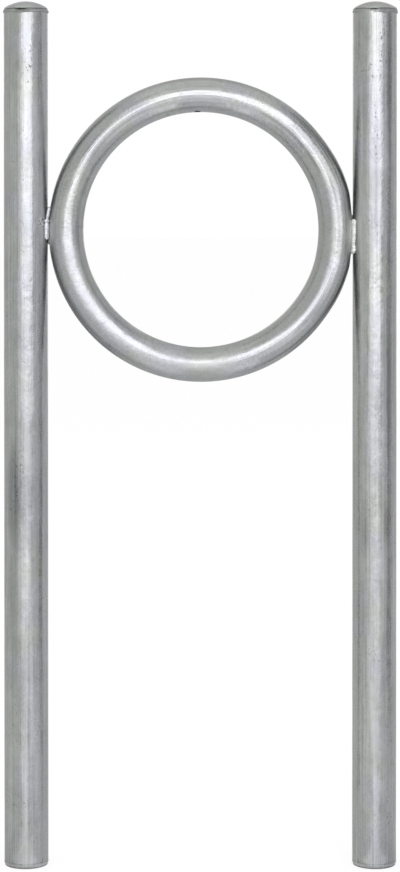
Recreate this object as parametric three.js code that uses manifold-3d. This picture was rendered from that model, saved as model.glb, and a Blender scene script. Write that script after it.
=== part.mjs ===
// Hoop bike rack: two capped tube posts with a rolled tube ring welded between them, galvanised steel.
// Lengths are millimetres, +Z is up, and the front faces -Y. The origin lies on the plane of the
// posts' lower ends, midway between the two posts.
import * as THREE from 'three';
import { mergeVertices } from 'three/addons/utils/BufferGeometryUtils.js';
import Module from 'manifold-3d';

const wasm = await Module();
wasm.setup();

// Ring, rolled from one length of tube and closed by a butt weld beside the left post
const ringRadius = 185; // centre of the ring to the centre of its tube
const ringTubeWidth = 46.8; // in the plane of the ring, where rolling has flattened the tube
const ringTubeDepth = 48.6; // front to back
const ringWall = 2.6;
const ringDrop = 300; // tops of the post tubes down to the centre of the ring
const ringRootGap = 2.4; // between the two ends of the rolled tube
const ringSeamDegrees = 178.2; // place of the butt weld round the ring, counted from the right
const ringVentDiameter = 8; // zinc vent in the upper inner side
const ringVentDegrees = 91.5;
const ringDrainDiameter = 10; // zinc drain in the lower inner side
const ringDrainDegrees = 264;
const buttWeldCrown = 0.9; // how far the butt weld stands proud of the tube
const buttWeldToe = 1.9; // how far it laps each tube end
const buttWeldFlushShare = 0.12; // share of the crown left where the weld is dressed down beside the post

// Posts
const postDiameter = 60.3;
const postWall = 2.9;
const postLength = 1172;
const postToRingGap = 0.45; // left between each post and the ring where they are closest
const postBevelShare = 0.6; // share of the wall that the weld bevel takes off at the top
const postBevelHeight = 2.2;
const cutTaperDepth = 0.5; // edge rolled inwards at the lower end
const cutTaperHeight = 4.2;
const hangingHoleDiameter = 6; // near the lower end, for the galvaniser's wire
const hangingHoleHeight = 9;
const hangingHoleDegrees = 52; // turned from the front towards the inside

// Domed caps
const capInset = 0.25; // cap edge inside the outline of the post
const capRise = 9.3; // top of the dome above its edge
const capThickness = 3;
const rightCapShift = 0.9; // the right cap was tacked on slightly off centre

// Cap welds, each open at the front as a vent between two angles counted from the front
const capWeldCrown = 1.15; // how far the bead stands proud of the post
const capWeldCover = 0.9; // thickness of the bead over the edge of the cap
const capWeldShiftShare = 0.6; // share of the cap's shift that the crown follows
const capWeldEndLength = 2.6; // over which each end of the bead dies away
const capWeldEndShare = 0.45; // share of the full section left at the end of the bead
const capWeldEndToeShare = 0.02; // share of the laps left there
const leftCapWeld = {
  postToe: 0.8, // how far the bead laps down the post, below the bevel
  domeToe: 3.3, // how far it laps on to the dome
  ventStartDegrees: -24,
  ventEndDegrees: 8,
};
const rightCapWeld = {
  postToe: 2.6,
  domeToe: 0.7,
  ventStartDegrees: -18.5,
  ventEndDegrees: 2.6,
};

// Welds between the posts and the ring
const jointWeldRoot = 4.6; // from the middle plane of the rack to the root of each bead
const jointWeldFace = 12.2; // from the middle plane to the toes of each bead
const jointWeldCrown = 0.9; // bulge of the bead beyond its toes
const jointWeldEndShare = 0.15; // share of the depth left at the ends of a bead
const leftFrontWeldTop = 30; // heights from the centre of the ring
const leftFrontWeldBottom = -15;
const rightFrontWeldTop = 14;
const rightFrontWeldBottom = -34;
const leftBackWeldTop = 23;
const leftBackWeldBottom = -21;
const rightBackWeldTop = 20;
const rightBackWeldBottom = -25;

// Clearances
const seatGap = 0.3; // between pieces that a weld holds together
const cutOverrun = 3; // how far a cutter runs past the wall that it cuts

// Fineness of the curved surfaces
const postSides = 64;
const capSides = 48;
const capArcSteps = 6;
const capWeldSteps = 52;
const capWeldCrownSteps = 6;
const ringSteps = 64;
const ringSides = 28;
const ringBoreSides = 18;
const buttWeldSides = 28;
const jointWeldSteps = 12;
const jointWeldSideSteps = 3;
const jointWeldCrownSteps = 4;
const holeSides = 20;

// Sizes that follow from those above
const postRadius = postDiameter / 2;
const postBoreRadius = postRadius - postWall;
const ringHalfWidth = ringTubeWidth / 2;
const ringHalfDepth = ringTubeDepth / 2;
const postOffset = ringRadius + ringHalfWidth + postToRingGap + postRadius;
const ringHeight = postLength - ringDrop;
const seamAngle = THREE.MathUtils.degToRad(ringSeamDegrees);
const seamHalfAngle = Math.asin(ringRootGap / 2 / ringRadius);
const capRadius = postRadius - capInset;
const capDomeRadius = (capRadius ** 2 + capRise ** 2) / (2 * capRise);
const capEdgeAngle = Math.asin(capRadius / capDomeRadius); // slope of the dome at its edge
const capDomeHeight = seatGap - (capDomeRadius - capThickness) * Math.cos(capEdgeAngle);

// Point at a height and a radius round a vertical axis, with angle 0 at the front and +90 degrees at +X.
function roundAxis(radius, angle, height) {
  return new THREE.Vector3(radius * Math.sin(angle), -radius * Math.cos(angle), height);
}

// Point beside the centre line of the ring: outwards in the plane of the ring, forwards, and along the tube.
function besideRing(ringAngle, outwards, forwards, along = 0) {
  const radial = new THREE.Vector3(Math.cos(ringAngle), 0, Math.sin(ringAngle));
  const tangent = new THREE.Vector3(-Math.sin(ringAngle), 0, Math.cos(ringAngle));
  const point = radial.multiplyScalar(ringRadius + outwards).addScaledVector(tangent, along);
  point.y = -forwards;
  return point;
}

// Turns the faces over where they point inwards, so that the shape encloses a positive volume.
function facingOut(geometry) {
  const position = geometry.getAttribute('position');
  const index = geometry.getIndex();
  const a = new THREE.Vector3();
  const b = new THREE.Vector3();
  const c = new THREE.Vector3();
  let volume = 0;
  for (let i = 0; i < index.count; i += 3) {
    a.fromBufferAttribute(position, index.getX(i));
    b.fromBufferAttribute(position, index.getX(i + 1));
    c.fromBufferAttribute(position, index.getX(i + 2));
    volume += a.dot(b.cross(c));
  }
  if (volume < 0) {
    index.array.reverse();
  }
  return geometry;
}

// Closed surface through outlines of equal point counts. A looped one joins its last outline to its first,
// and an open one has a fan of faces over each end.
function loft(outlines, looped) {
  const count = outlines[0].length;
  const points = outlines.flat();
  const faces = [];
  const spans = looped ? outlines.length : outlines.length - 1;
  for (let i = 0; i < spans; i += 1) {
    const next = (i + 1) % outlines.length;
    for (let j = 0; j < count; j += 1) {
      const k = (j + 1) % count;
      faces.push(i * count + j, next * count + j, next * count + k);
      faces.push(i * count + j, next * count + k, i * count + k);
    }
  }
  if (!looped) {
    for (const end of [0, outlines.length - 1]) {
      const middle = new THREE.Vector3();
      outlines[end].forEach((point) => middle.addScaledVector(point, 1 / count));
      const hub = points.push(middle) - 1;
      for (let j = 0; j < count; j += 1) {
        const edge = [end * count + j, end * count + ((j + 1) % count)];
        faces.push(hub, ...(end === 0 ? edge : edge.reverse()));
      }
    }
  }
  const geometry = new THREE.BufferGeometry().setFromPoints(points);
  geometry.setIndex(new THREE.BufferAttribute(new Uint32Array(faces), 1));
  return facingOut(geometry);
}

// The same geometry with positions only and shared vertices merged.
function bare(geometry) {
  geometry.deleteAttribute('normal');
  geometry.deleteAttribute('uv');
  return facingOut(mergeVertices(geometry));
}

function toSolid(geometry) {
  const merged = bare(geometry);
  return new wasm.Manifold(new wasm.Mesh({
    numProp: 3,
    vertProperties: Float32Array.from(merged.getAttribute('position').array),
    triVerts: Uint32Array.from(merged.getIndex().array),
  }));
}

function toGeometry(solid) {
  const mesh = solid.getMesh();
  const geometry = new THREE.BufferGeometry();
  geometry.setAttribute('position', new THREE.BufferAttribute(Float32Array.from(mesh.vertProperties), 3));
  geometry.setIndex(new THREE.BufferAttribute(Uint32Array.from(mesh.triVerts), 1));
  return geometry;
}

// Full turn round the vertical axis of a profile given as [radius, height] pairs.
function turned(profile, sides) {
  return new THREE.LatheGeometry(profile.map(([radius, height]) => new THREE.Vector2(radius, height)), sides)
    .rotateX(Math.PI / 2);
}

// Drill through one wall: a cylinder along a direction, centred on a point of the wall.
function drill(diameter, wall, centre, direction) {
  const cutter = new THREE.CylinderGeometry(diameter / 2, diameter / 2, wall + 2 * cutOverrun, holeSides);
  const turn = new THREE.Quaternion().setFromUnitVectors(new THREE.Vector3(0, 1, 0), direction);
  return toSolid(cutter.applyQuaternion(turn).translate(centre.x, centre.y, centre.z));
}

// Post tube with its weld bevel, rolled-in lower edge and hanging hole. Inwards is +1 on the left post.
function postGeometry(inwards) {
  const bevelRadius = postRadius - postWall * postBevelShare;
  const tube = turned([
    [postBoreRadius, 0],
    [postRadius - cutTaperDepth, 0],
    [postRadius, cutTaperHeight],
    [postRadius, postLength - postBevelHeight],
    [bevelRadius, postLength],
    [postBoreRadius, postLength],
    [postBoreRadius, 0],
  ], postSides);
  const holeAngle = inwards * THREE.MathUtils.degToRad(hangingHoleDegrees);
  const holeCentre = roundAxis(postRadius - postWall / 2, holeAngle, hangingHoleHeight);
  const hole = drill(hangingHoleDiameter, postWall, holeCentre, roundAxis(1, holeAngle, 0));
  return toGeometry(toSolid(tube).subtract(hole));
}

// Pressed cap: a dome of even thickness, its height counted from the top of the post tube.
function capGeometry() {
  const arc = (radius, from, to) => {
    const points = [];
    for (let i = 0; i <= capArcSteps; i += 1) {
      const angle = THREE.MathUtils.lerp(from, to, i / capArcSteps);
      points.push([radius * Math.sin(angle), capDomeHeight + radius * Math.cos(angle)]);
    }
    return points;
  };
  return bare(turned([
    ...arc(capDomeRadius - capThickness, 0, capEdgeAngle),
    ...arc(capDomeRadius, capEdgeAngle, 0),
  ], capSides));
}

// Outline of a cap weld at one angle, as points of radius and height. It fills the groove between the
// bevel of the tube and the edge of the cap, whose sideways shift moves that edge in or out. The toes and
// the fill shrink at the ends of the bead.
function capWeldOutline(weld, capShift, angle, toeShare, fillShare) {
  const edgeShift = capShift * Math.sin(angle);
  const bevelDepth = postWall * postBevelShare;
  const bevelRun = Math.hypot(bevelDepth, postBevelHeight);
  const capNormal = new THREE.Vector2(Math.cos(capEdgeAngle), -Math.sin(capEdgeAngle));
  const bevelNormal = new THREE.Vector2(postBevelHeight / bevelRun, bevelDepth / bevelRun);
  const onDome = (radius, slope) => new THREE.Vector2(
    edgeShift + radius * Math.sin(slope),
    capDomeHeight + radius * Math.cos(slope),
  );
  const capCorner = onDome(capDomeRadius - capThickness, capEdgeAngle);
  const bevelCorner = new THREE.Vector2(postRadius - bevelDepth, 0);
  const capReach = capNormal.dot(capCorner) + seatGap;
  const bevelReach = bevelNormal.dot(bevelCorner) + seatGap;
  const cross = capNormal.x * bevelNormal.y - capNormal.y * bevelNormal.x;
  const root = new THREE.Vector2(
    (capReach * bevelNormal.y - bevelReach * capNormal.y) / cross,
    (bevelReach * capNormal.x - capReach * bevelNormal.x) / cross,
  );
  const postShoulder = new THREE.Vector2(postRadius + seatGap, -postBevelHeight + seatGap / 2);
  const postToe = new THREE.Vector2(postRadius + seatGap, -postBevelHeight - weld.postToe * toeShare);
  const belly = new THREE.Vector2(postRadius + capWeldCrown + edgeShift * capWeldShiftShare, 0);
  const coverTurn = capEdgeAngle - Math.PI / 4;
  const cover = onDome(capDomeRadius, capEdgeAngle)
    .add(new THREE.Vector2(Math.cos(coverTurn), -Math.sin(coverTurn)).multiplyScalar(capWeldCover));
  const domeToe = onDome(capDomeRadius + seatGap, capEdgeAngle - weld.domeToe * toeShare / capDomeRadius);
  const domeShoulder = onDome(capDomeRadius + seatGap / 2, capEdgeAngle).addScaledVector(capNormal, seatGap);
  const crown = new THREE.SplineCurve([postToe, belly, cover, domeToe]).getPoints(capWeldCrownSteps);
  const outline = [root, postShoulder, ...crown, domeShoulder];
  return outline.map((point) => point.lerp(root, 1 - fillShare));
}

// Cap weld: a bead most of the way round, open at the front.
function capWeldGeometry(weld, capShift) {
  const start = THREE.MathUtils.degToRad(weld.ventEndDegrees);
  const end = THREE.MathUtils.degToRad(weld.ventStartDegrees + 360);
  const endAngle = capWeldEndLength / postRadius;
  const stations = [
    [start, capWeldEndToeShare, capWeldEndShare],
    [start + endAngle / 2, capWeldEndToeShare, 1],
  ];
  for (let i = 0; i <= capWeldSteps; i += 1) {
    const angle = THREE.MathUtils.lerp(start + endAngle, end - endAngle, i / capWeldSteps);
    stations.push([angle, 1, 1]);
  }
  stations.push([end - endAngle / 2, capWeldEndToeShare, 1], [end, capWeldEndToeShare, capWeldEndShare]);
  return loft(stations.map(([angle, toeShare, fillShare]) => (
    capWeldOutline(weld, capShift, angle, toeShare, fillShare)
      .map((point) => roundAxis(point.x, angle, point.y))
  )), false);
}

// Solid tube bent round the ring, open between two angles or running all the way round.
function bentTube(halfWidth, halfDepth, sides, from, to, looped) {
  const outlines = [];
  const stations = looped ? ringSteps : ringSteps + 1;
  for (let i = 0; i < stations; i += 1) {
    const ringAngle = THREE.MathUtils.lerp(from, to, i / ringSteps);
    const outline = [];
    for (let j = 0; j < sides; j += 1) {
      const turn = 2 * Math.PI * j / sides;
      outline.push(besideRing(ringAngle, halfWidth * Math.cos(turn), halfDepth * Math.sin(turn)));
    }
    outlines.push(outline);
  }
  return loft(outlines, looped);
}

// Rolled ring: a tube whose two ends face each other across the root gap, with its vent and drain holes.
function ringGeometry() {
  const turn = 2 * Math.PI;
  const tube = toSolid(bentTube(ringHalfWidth, ringHalfDepth, ringSides,
    seamAngle + seamHalfAngle, seamAngle + turn - seamHalfAngle, false));
  const bore = toSolid(bentTube(ringHalfWidth - ringWall, ringHalfDepth - ringWall, ringBoreSides,
    seamAngle, seamAngle + turn, true));
  const holes = [[ringVentDiameter, ringVentDegrees], [ringDrainDiameter, ringDrainDegrees]];
  return toGeometry(holes.reduce((solid, [diameter, degrees]) => {
    const angle = THREE.MathUtils.degToRad(degrees);
    const centre = besideRing(angle, ringWall / 2 - ringHalfWidth, 0);
    return solid.subtract(drill(diameter, ringWall, centre, centre.clone().normalize()));
  }, tube.subtract(bore)));
}

// Butt weld that closes the ring. It fills the root gap all round the tube, and stands proud of it
// except on the third of the tube that faces the post, where it is dressed flush.
function buttWeldGeometry() {
  const halfGap = ringRootGap / 2 - seatGap;
  const outlines = [];
  for (let j = 0; j < buttWeldSides; j += 1) {
    const turn = 2 * Math.PI * j / buttWeldSides;
    const awayFromPost = THREE.MathUtils.smoothstep(-Math.cos(turn), -Math.cos(Math.PI / 3), 0);
    const proudShare = THREE.MathUtils.lerp(buttWeldFlushShare, 1, awayFromPost);
    const onTube = (height, along) => besideRing(
      seamAngle,
      (ringHalfWidth + height) * Math.cos(turn),
      (ringHalfDepth + height) * Math.sin(turn),
      along,
    );
    const lap = halfGap + buttWeldToe * proudShare;
    const lift = seatGap * proudShare;
    const crown = buttWeldCrown * proudShare;
    outlines.push([
      onTube(-ringWall, -halfGap),
      onTube(lift, -halfGap),
      onTube(lift, -lap),
      onTube(crown, -halfGap),
      onTube(crown, halfGap),
      onTube(lift, lap),
      onTube(lift, halfGap),
      onTube(-ringWall, halfGap),
    ]);
  }
  return loft(outlines, true);
}

// Weld in the groove between a post and the ring, from one height to another beside the centre of the
// ring. Side is -1 at the left post and +1 at the right, face is -1 at the back and +1 at the front.
function jointWeldGeometry(side, face, bottom, top) {
  const place = (inwards, depth, height) => new THREE.Vector3(side * inwards, -face * depth, height);
  const onPost = (depth, height) => {
    const reach = Math.sqrt((postRadius + seatGap) ** 2 - depth ** 2);
    return place(postOffset - reach, depth, height);
  };
  const onRing = (depth, height) => {
    const bulge = Math.sqrt(1 - (depth / (ringHalfDepth + seatGap)) ** 2);
    const reach = ringRadius + (ringHalfWidth + seatGap) * bulge;
    return place(Math.sqrt(reach ** 2 - height ** 2), depth, height);
  };
  const outlines = [];
  for (let i = 0; i <= jointWeldSteps; i += 1) {
    const turn = Math.PI * i / jointWeldSteps;
    const height = THREE.MathUtils.lerp(bottom, top, (1 - Math.cos(turn)) / 2);
    const fillShare = THREE.MathUtils.lerp(jointWeldEndShare, 1, Math.sin(turn));
    const toeDepth = THREE.MathUtils.lerp(jointWeldRoot, jointWeldFace, fillShare);
    const outline = [];
    for (let j = 0; j <= jointWeldSideSteps; j += 1) {
      outline.push(onPost(THREE.MathUtils.lerp(jointWeldRoot, toeDepth, j / jointWeldSideSteps), height));
    }
    for (let j = 1; j < jointWeldCrownSteps; j += 1) {
      const share = j / jointWeldCrownSteps;
      const point = onPost(toeDepth, height).lerp(onRing(toeDepth, height), share);
      point.y -= face * jointWeldCrown * fillShare * Math.sin(Math.PI * share);
      outline.push(point);
    }
    for (let j = jointWeldSideSteps; j >= 0; j -= 1) {
      outline.push(onRing(THREE.MathUtils.lerp(jointWeldRoot, toeDepth, j / jointWeldSideSteps), height));
    }
    outlines.push(outline);
  }
  return loft(outlines, false);
}

// Finishes
const zincOnTube = { color: 0x9b9d9c, roughness: 0.42, metalness: 0.85 };
const zincOnWeld = { color: 0xb4b6b6, roughness: 0.34, metalness: 0.85 };

function piece(name, geometry, finish) {
  const mesh = new THREE.Mesh(geometry, new THREE.MeshStandardMaterial(finish));
  mesh.name = name;
  return mesh;
}

// One post with its cap and cap weld, standing on the plane of the lower ends.
function postAssembly(name, side, capShift, weld) {
  const cap = piece(`${name}_cap`, capGeometry(), zincOnTube);
  cap.position.x = capShift;
  const head = new THREE.Group();
  head.position.z = postLength;
  head.add(cap, piece(`${name}_cap_weld`, capWeldGeometry(weld, capShift), zincOnWeld));
  const assembly = new THREE.Group();
  assembly.position.x = side * postOffset;
  assembly.add(piece(`${name}_post`, postGeometry(-side), zincOnTube), head);
  return assembly;
}

const hoop = new THREE.Group();
hoop.position.z = ringHeight;
hoop.add(piece('ring', ringGeometry(), zincOnTube), piece('ring_butt_weld', buttWeldGeometry(), zincOnWeld));
for (const [name, side, face, bottom, top] of [
  ['left_front_weld', -1, 1, leftFrontWeldBottom, leftFrontWeldTop],
  ['left_back_weld', -1, -1, leftBackWeldBottom, leftBackWeldTop],
  ['right_front_weld', 1, 1, rightFrontWeldBottom, rightFrontWeldTop],
  ['right_back_weld', 1, -1, rightBackWeldBottom, rightBackWeldTop],
]) {
  hoop.add(piece(name, jointWeldGeometry(side, face, bottom, top), zincOnWeld));
}

const rack = new THREE.Group();
rack.add(
  postAssembly('left', -1, 0, leftCapWeld),
  postAssembly('right', 1, rightCapShift, rightCapWeld),
  hoop,
);

export default rack;
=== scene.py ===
"""Hoop bike rack in its finish: capped tube posts, a rolled ring between them and their welds."""

import math
from math import radians

import bpy
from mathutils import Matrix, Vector


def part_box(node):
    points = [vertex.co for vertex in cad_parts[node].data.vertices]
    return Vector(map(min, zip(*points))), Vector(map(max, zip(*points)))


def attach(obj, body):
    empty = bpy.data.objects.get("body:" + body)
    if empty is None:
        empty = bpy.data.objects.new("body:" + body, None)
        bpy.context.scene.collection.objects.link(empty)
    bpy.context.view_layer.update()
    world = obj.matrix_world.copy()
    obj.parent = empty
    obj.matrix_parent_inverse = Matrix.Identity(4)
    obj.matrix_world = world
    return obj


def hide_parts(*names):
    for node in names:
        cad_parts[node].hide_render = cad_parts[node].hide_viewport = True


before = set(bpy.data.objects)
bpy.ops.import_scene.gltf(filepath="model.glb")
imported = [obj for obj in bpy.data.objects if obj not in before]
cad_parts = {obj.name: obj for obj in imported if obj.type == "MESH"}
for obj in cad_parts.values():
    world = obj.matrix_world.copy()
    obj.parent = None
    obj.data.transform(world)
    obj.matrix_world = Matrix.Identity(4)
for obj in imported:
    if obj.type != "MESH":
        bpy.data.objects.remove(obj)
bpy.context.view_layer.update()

bl_info = {
    "name": "Hoop Bike Rack",
    "version": (1, 0, 0),
    "blender": (4, 5, 0),
    "location": "3D View > Sidebar > Bike Rack",
    "description": "Builds a hoop bike rack and its studio",
    "category": "Object",
}

MM = 0.001
TURN = 2 * math.pi
SHARP_ANGLE = radians(38)
MERGE_DISTANCE = 0.004 * MM

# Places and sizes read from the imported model
post_low, post_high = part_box("right_post")
ring_low, ring_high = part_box("ring")
cap_low, cap_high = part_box("left_cap")
POST_RADIUS = (post_high.x - post_low.x) / 2
POST_OFFSET = (post_high.x + post_low.x) / 2
POST_LENGTH = post_high.z
RING_HEIGHT = (ring_high.z + ring_low.z) / 2
RING_REACH = (ring_high.z - ring_low.z) / 2
RING_HALF_DEPTH = ring_high.y
CAP_RADIUS = (cap_high.x - cap_low.x) / 2
CAP_TOP = cap_high.z
RIGHT_CAP_SHIFT = sum((c.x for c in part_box("right_cap")), 0.0) / 2 - POST_OFFSET


def length(description, millimetres):
    return bpy.props.FloatProperty(
        description=description, default=millimetres * MM, unit="LENGTH", precision=5)


def angle(description, degrees):
    return bpy.props.FloatProperty(
        description=description, default=radians(degrees), subtype="ANGLE")


def share(description, default):
    return bpy.props.FloatProperty(description=description, default=default, min=0, max=1)


def number(description, default):
    return bpy.props.FloatProperty(description=description, default=default)


def colour(description, default):
    return bpy.props.FloatVectorProperty(
        description=description, default=default, subtype="COLOR", size=3, min=0, max=1)


def title(key):
    return key.replace("_", " ").title()


def titled(group):
    """Gives each property of a group the title that its name spells."""
    for key, prop in group.__annotations__.items():
        prop.keywords["name"] = title(key)
    return group


def inputs_from(group, *keys):
    """Inputs of a shape tree that are named after the properties they take their values from."""
    return {title(key): getattr(group, key) for key in keys}


@titled
class BikeRackTubes(bpy.types.PropertyGroup):
    """Sizes of the tubes and caps"""

    post_wall: length("Wall thickness of the posts", 2.9)
    post_wave: length("Waves in the zinc of a post", 0.22)
    edge_roll: length("Inward roll of a post's cut edge", 0.9)
    edge_roll_height: length("Height of the rolled edge", 5.0)
    drip_rim: length("Zinc that drained to the lower edge", 0.3)
    bevel_depth: length("Weld bevel at the top of a post", 1.7)
    bevel_height: length("Height of the weld bevel", 2.2)
    hanging_hole: length("Diameter of the hole for the galvaniser's wire", 6)
    hanging_hole_height: length("Height of that hole", 9)
    hanging_hole_angle: angle("Turn of that hole inwards from the front", 46)
    hole_film: length("Zinc left across the bottom of that hole", 2.2)
    ring_radius: length("Middle of the ring to that of its tube", RING_REACH / MM - 23.4)
    ring_half_width: length("Half the ring tube in the ring's plane", 23.8)
    ring_shift: length("Ring to the right of the middle", 0.8)
    ring_drop: length("Ring below its nominal height", 0.5)
    swell: length("Swelling above and below the right joint", 1.2)
    press: length("Flattening in the right joint", 0.9)
    ring_wall: length("Wall thickness of the ring tube", 2.6)
    ring_wave: length("Waves in the rolled tube", 0.2)
    ridge_height: length("Ridge that the rollers leave", 0.17)
    ridge_width: length("Half width of that ridge", 1.15)
    flatness: share("Fuller section right and lower left", 0.12)
    lean: share("Outward lean of the crown on the right", 0.09)
    vent: length("Diameter of the vent", 8)
    vent_angle: angle("Place of the vent", 91.5)
    vent_tilt: angle("Turn of the vent towards the front", 8)
    drain: length("Diameter of the drain", 10)
    drain_angle: angle("Place of the drain", 264)
    cap_rise: length("Top of a cap above its edge", 9.3)
    cap_thickness: length("Thickness of a cap", 3)
    cap_wave: length("Unevenness of the zinc on a cap", 0.35)


@titled
class BikeRackWelds(bpy.types.PropertyGroup):
    """Sizes of the weld beads"""

    ripple_pitch: length("Distance between the ripples of a bead", 3.1)
    ripple_share: share("Share of the bead in its ripples", 0.07)
    waver: length("How far a bead strays from its line", 0.55)
    seam_angle: angle("Place of the butt weld", 178.2)
    seam_crown: length("Crown of the butt weld", 0.16)
    seam_half_width: length("Half width of the butt weld", 2.6)
    joint_depth: length("Middle plane to a joint bead", 11.4)
    joint_across: length("Half width of a joint bead", 3.4)
    joint_deep: length("Half thickness of a joint bead", 2.9)


@titled
class BikeRackZinc(bpy.types.PropertyGroup):
    """Look of the galvanised steel"""

    # Warm and cool mix at random; the lean to cool on surfaces that face right is painted light
    # colour.
    warm: colour("Greenish grey of the weathered zinc", (0.306, 0.314, 0.298))
    cool: colour("Bluish grey of the brighter zinc", (0.307, 0.313, 0.323))
    roughness: share("Roughness of the zinc", 0.255)
    metallic: share("Metallic share of the zinc", 0.9)
    patch_share: share("Strength of the large patches", 0.15)
    streak_share: share("Strength of the streaks", 0.17)
    mottle_share: share("Strength of the mottling", 0.1)
    line_share: share("Strength of the drawn lines", 0.17)
    edge_tint: colour("Share of the glancing reflection that stays", (0.75, 0.75, 0.75))


@titled
class BikeRackStudio(bpy.types.PropertyGroup):
    """Camera and light"""

    camera_distance: length("Camera to the plane of the rack", 3400)
    camera_height: length("Camera above the floor", 958)
    camera_side: length("Camera to the right of the middle", -0.4)
    camera_pitch: angle("How far the camera looks down", 0.78)
    lens: number("Focal length in millimetres", 102.43)
    shift: number("Vertical shift of the lens", -0.2702)
    key_level: number("Brightness of the main light, white being 1", 2.0)
    front_level: number("Brightness of the tall light in front", 0.6)
    side_level: number("Brightness of the light on the right", 0.45)
    left_level: number("Brightness of the light on the left", 0.65)
    low_level: number("Brightness of the lights before a post", 0.9)
    middle_level: number("Brightness of the low middle light", 0.5)
    top_level: number("Brightness of the light overhead", 0.35)
    back_level: number("Brightness of each light behind the rack", 0.7)
    surround: number("Strength of the even light from all round", 1.0)
    cool_light: colour("Colour of the soft lights", (0.94, 0.935, 1.0))


def cosine(degrees):
    return math.cos(radians(degrees))


class Value:
    """A socket of a node tree whose arithmetic adds Math nodes."""

    def __init__(self, tree, socket):
        self.tree = tree
        self.socket = socket

    def maths(self, operation, *others):
        return self.tree.maths(operation, self, *others)

    def sin(self):
        return self.maths("SINE")

    def cos(self):
        return self.maths("COSINE")

    def abs(self):
        return self.maths("ABSOLUTE")

    def bell(self):
        """1 at zero, falling smoothly to 0 on both sides."""
        return (-(self * self)).maths("EXPONENT")

    def output(self, key):
        return Value(self.tree, self.socket.node.outputs[key])

    def __add__(self, other):
        return self.maths("ADD", other)

    def __radd__(self, other):
        return self.tree.maths("ADD", other, self)

    def __sub__(self, other):
        return self.maths("SUBTRACT", other)

    def __rsub__(self, other):
        return self.tree.maths("SUBTRACT", other, self)

    def __mul__(self, other):
        return self.maths("MULTIPLY", other)

    def __rmul__(self, other):
        return self.tree.maths("MULTIPLY", other, self)

    def __truediv__(self, other):
        return self.maths("DIVIDE", other)

    def __neg__(self):
        return self.maths("MULTIPLY", -1)


class Tree:
    """Adds nodes to a shader or geometry tree, one call for each node."""

    def __init__(self, group):
        self.group = group

    def add(self, kind, settings=None, sockets=None, output=0):
        node = self.group.nodes.new(kind)
        for name, setting in (settings or {}).items():
            setattr(node, name, setting)
        for key, value in (sockets or {}).items():
            for one in value if isinstance(value, list) else [value]:
                if isinstance(one, Value):
                    self.group.links.new(one.socket, node.inputs[key])
                else:
                    node.inputs[key].default_value = one
        return Value(self, node.outputs[output]) if node.outputs else None

    def maths(self, operation, *values):
        return self.add("ShaderNodeMath", {"operation": operation}, dict(enumerate(values)))

    def vector(self, x, y, z):
        return self.add("ShaderNodeCombineXYZ", None, {0: x, 1: y, 2: z})

    def split(self, vector):
        parts = self.add("ShaderNodeSeparateXYZ", None, {0: vector})
        return parts, parts.output(1), parts.output(2)

    def vectors(self, operation, *values, output=0, **extra):
        sockets = {**dict(enumerate(values)), **extra}
        return self.add("ShaderNodeVectorMath", {"operation": operation}, sockets, output)

    def ramp(self, value, low, high, to_low=0.0, to_high=1.0):
        """Smooth step from one value to another between two limits."""
        settings = {"interpolation_type": "SMOOTHSTEP", "clamp": True}
        sockets = {0: value, 1: low, 2: high, 3: to_low, 4: to_high}
        return self.add("ShaderNodeMapRange", settings, sockets)

    def mix(self, factor, first, second):
        return first + factor * (second - first)

    def noise(self, vector, scale, detail=2.0, seed=0.0, roughness=0.5, distortion=0.0):
        """Noise between 0 and 1, its middle at a half, with a fixed seed."""
        sockets = {"Vector": vector, "W": seed, "Scale": scale, "Detail": detail,
                   "Roughness": roughness, "Distortion": distortion}
        return self.add("ShaderNodeTexNoise", {"noise_dimensions": "4D"}, sockets)


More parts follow.
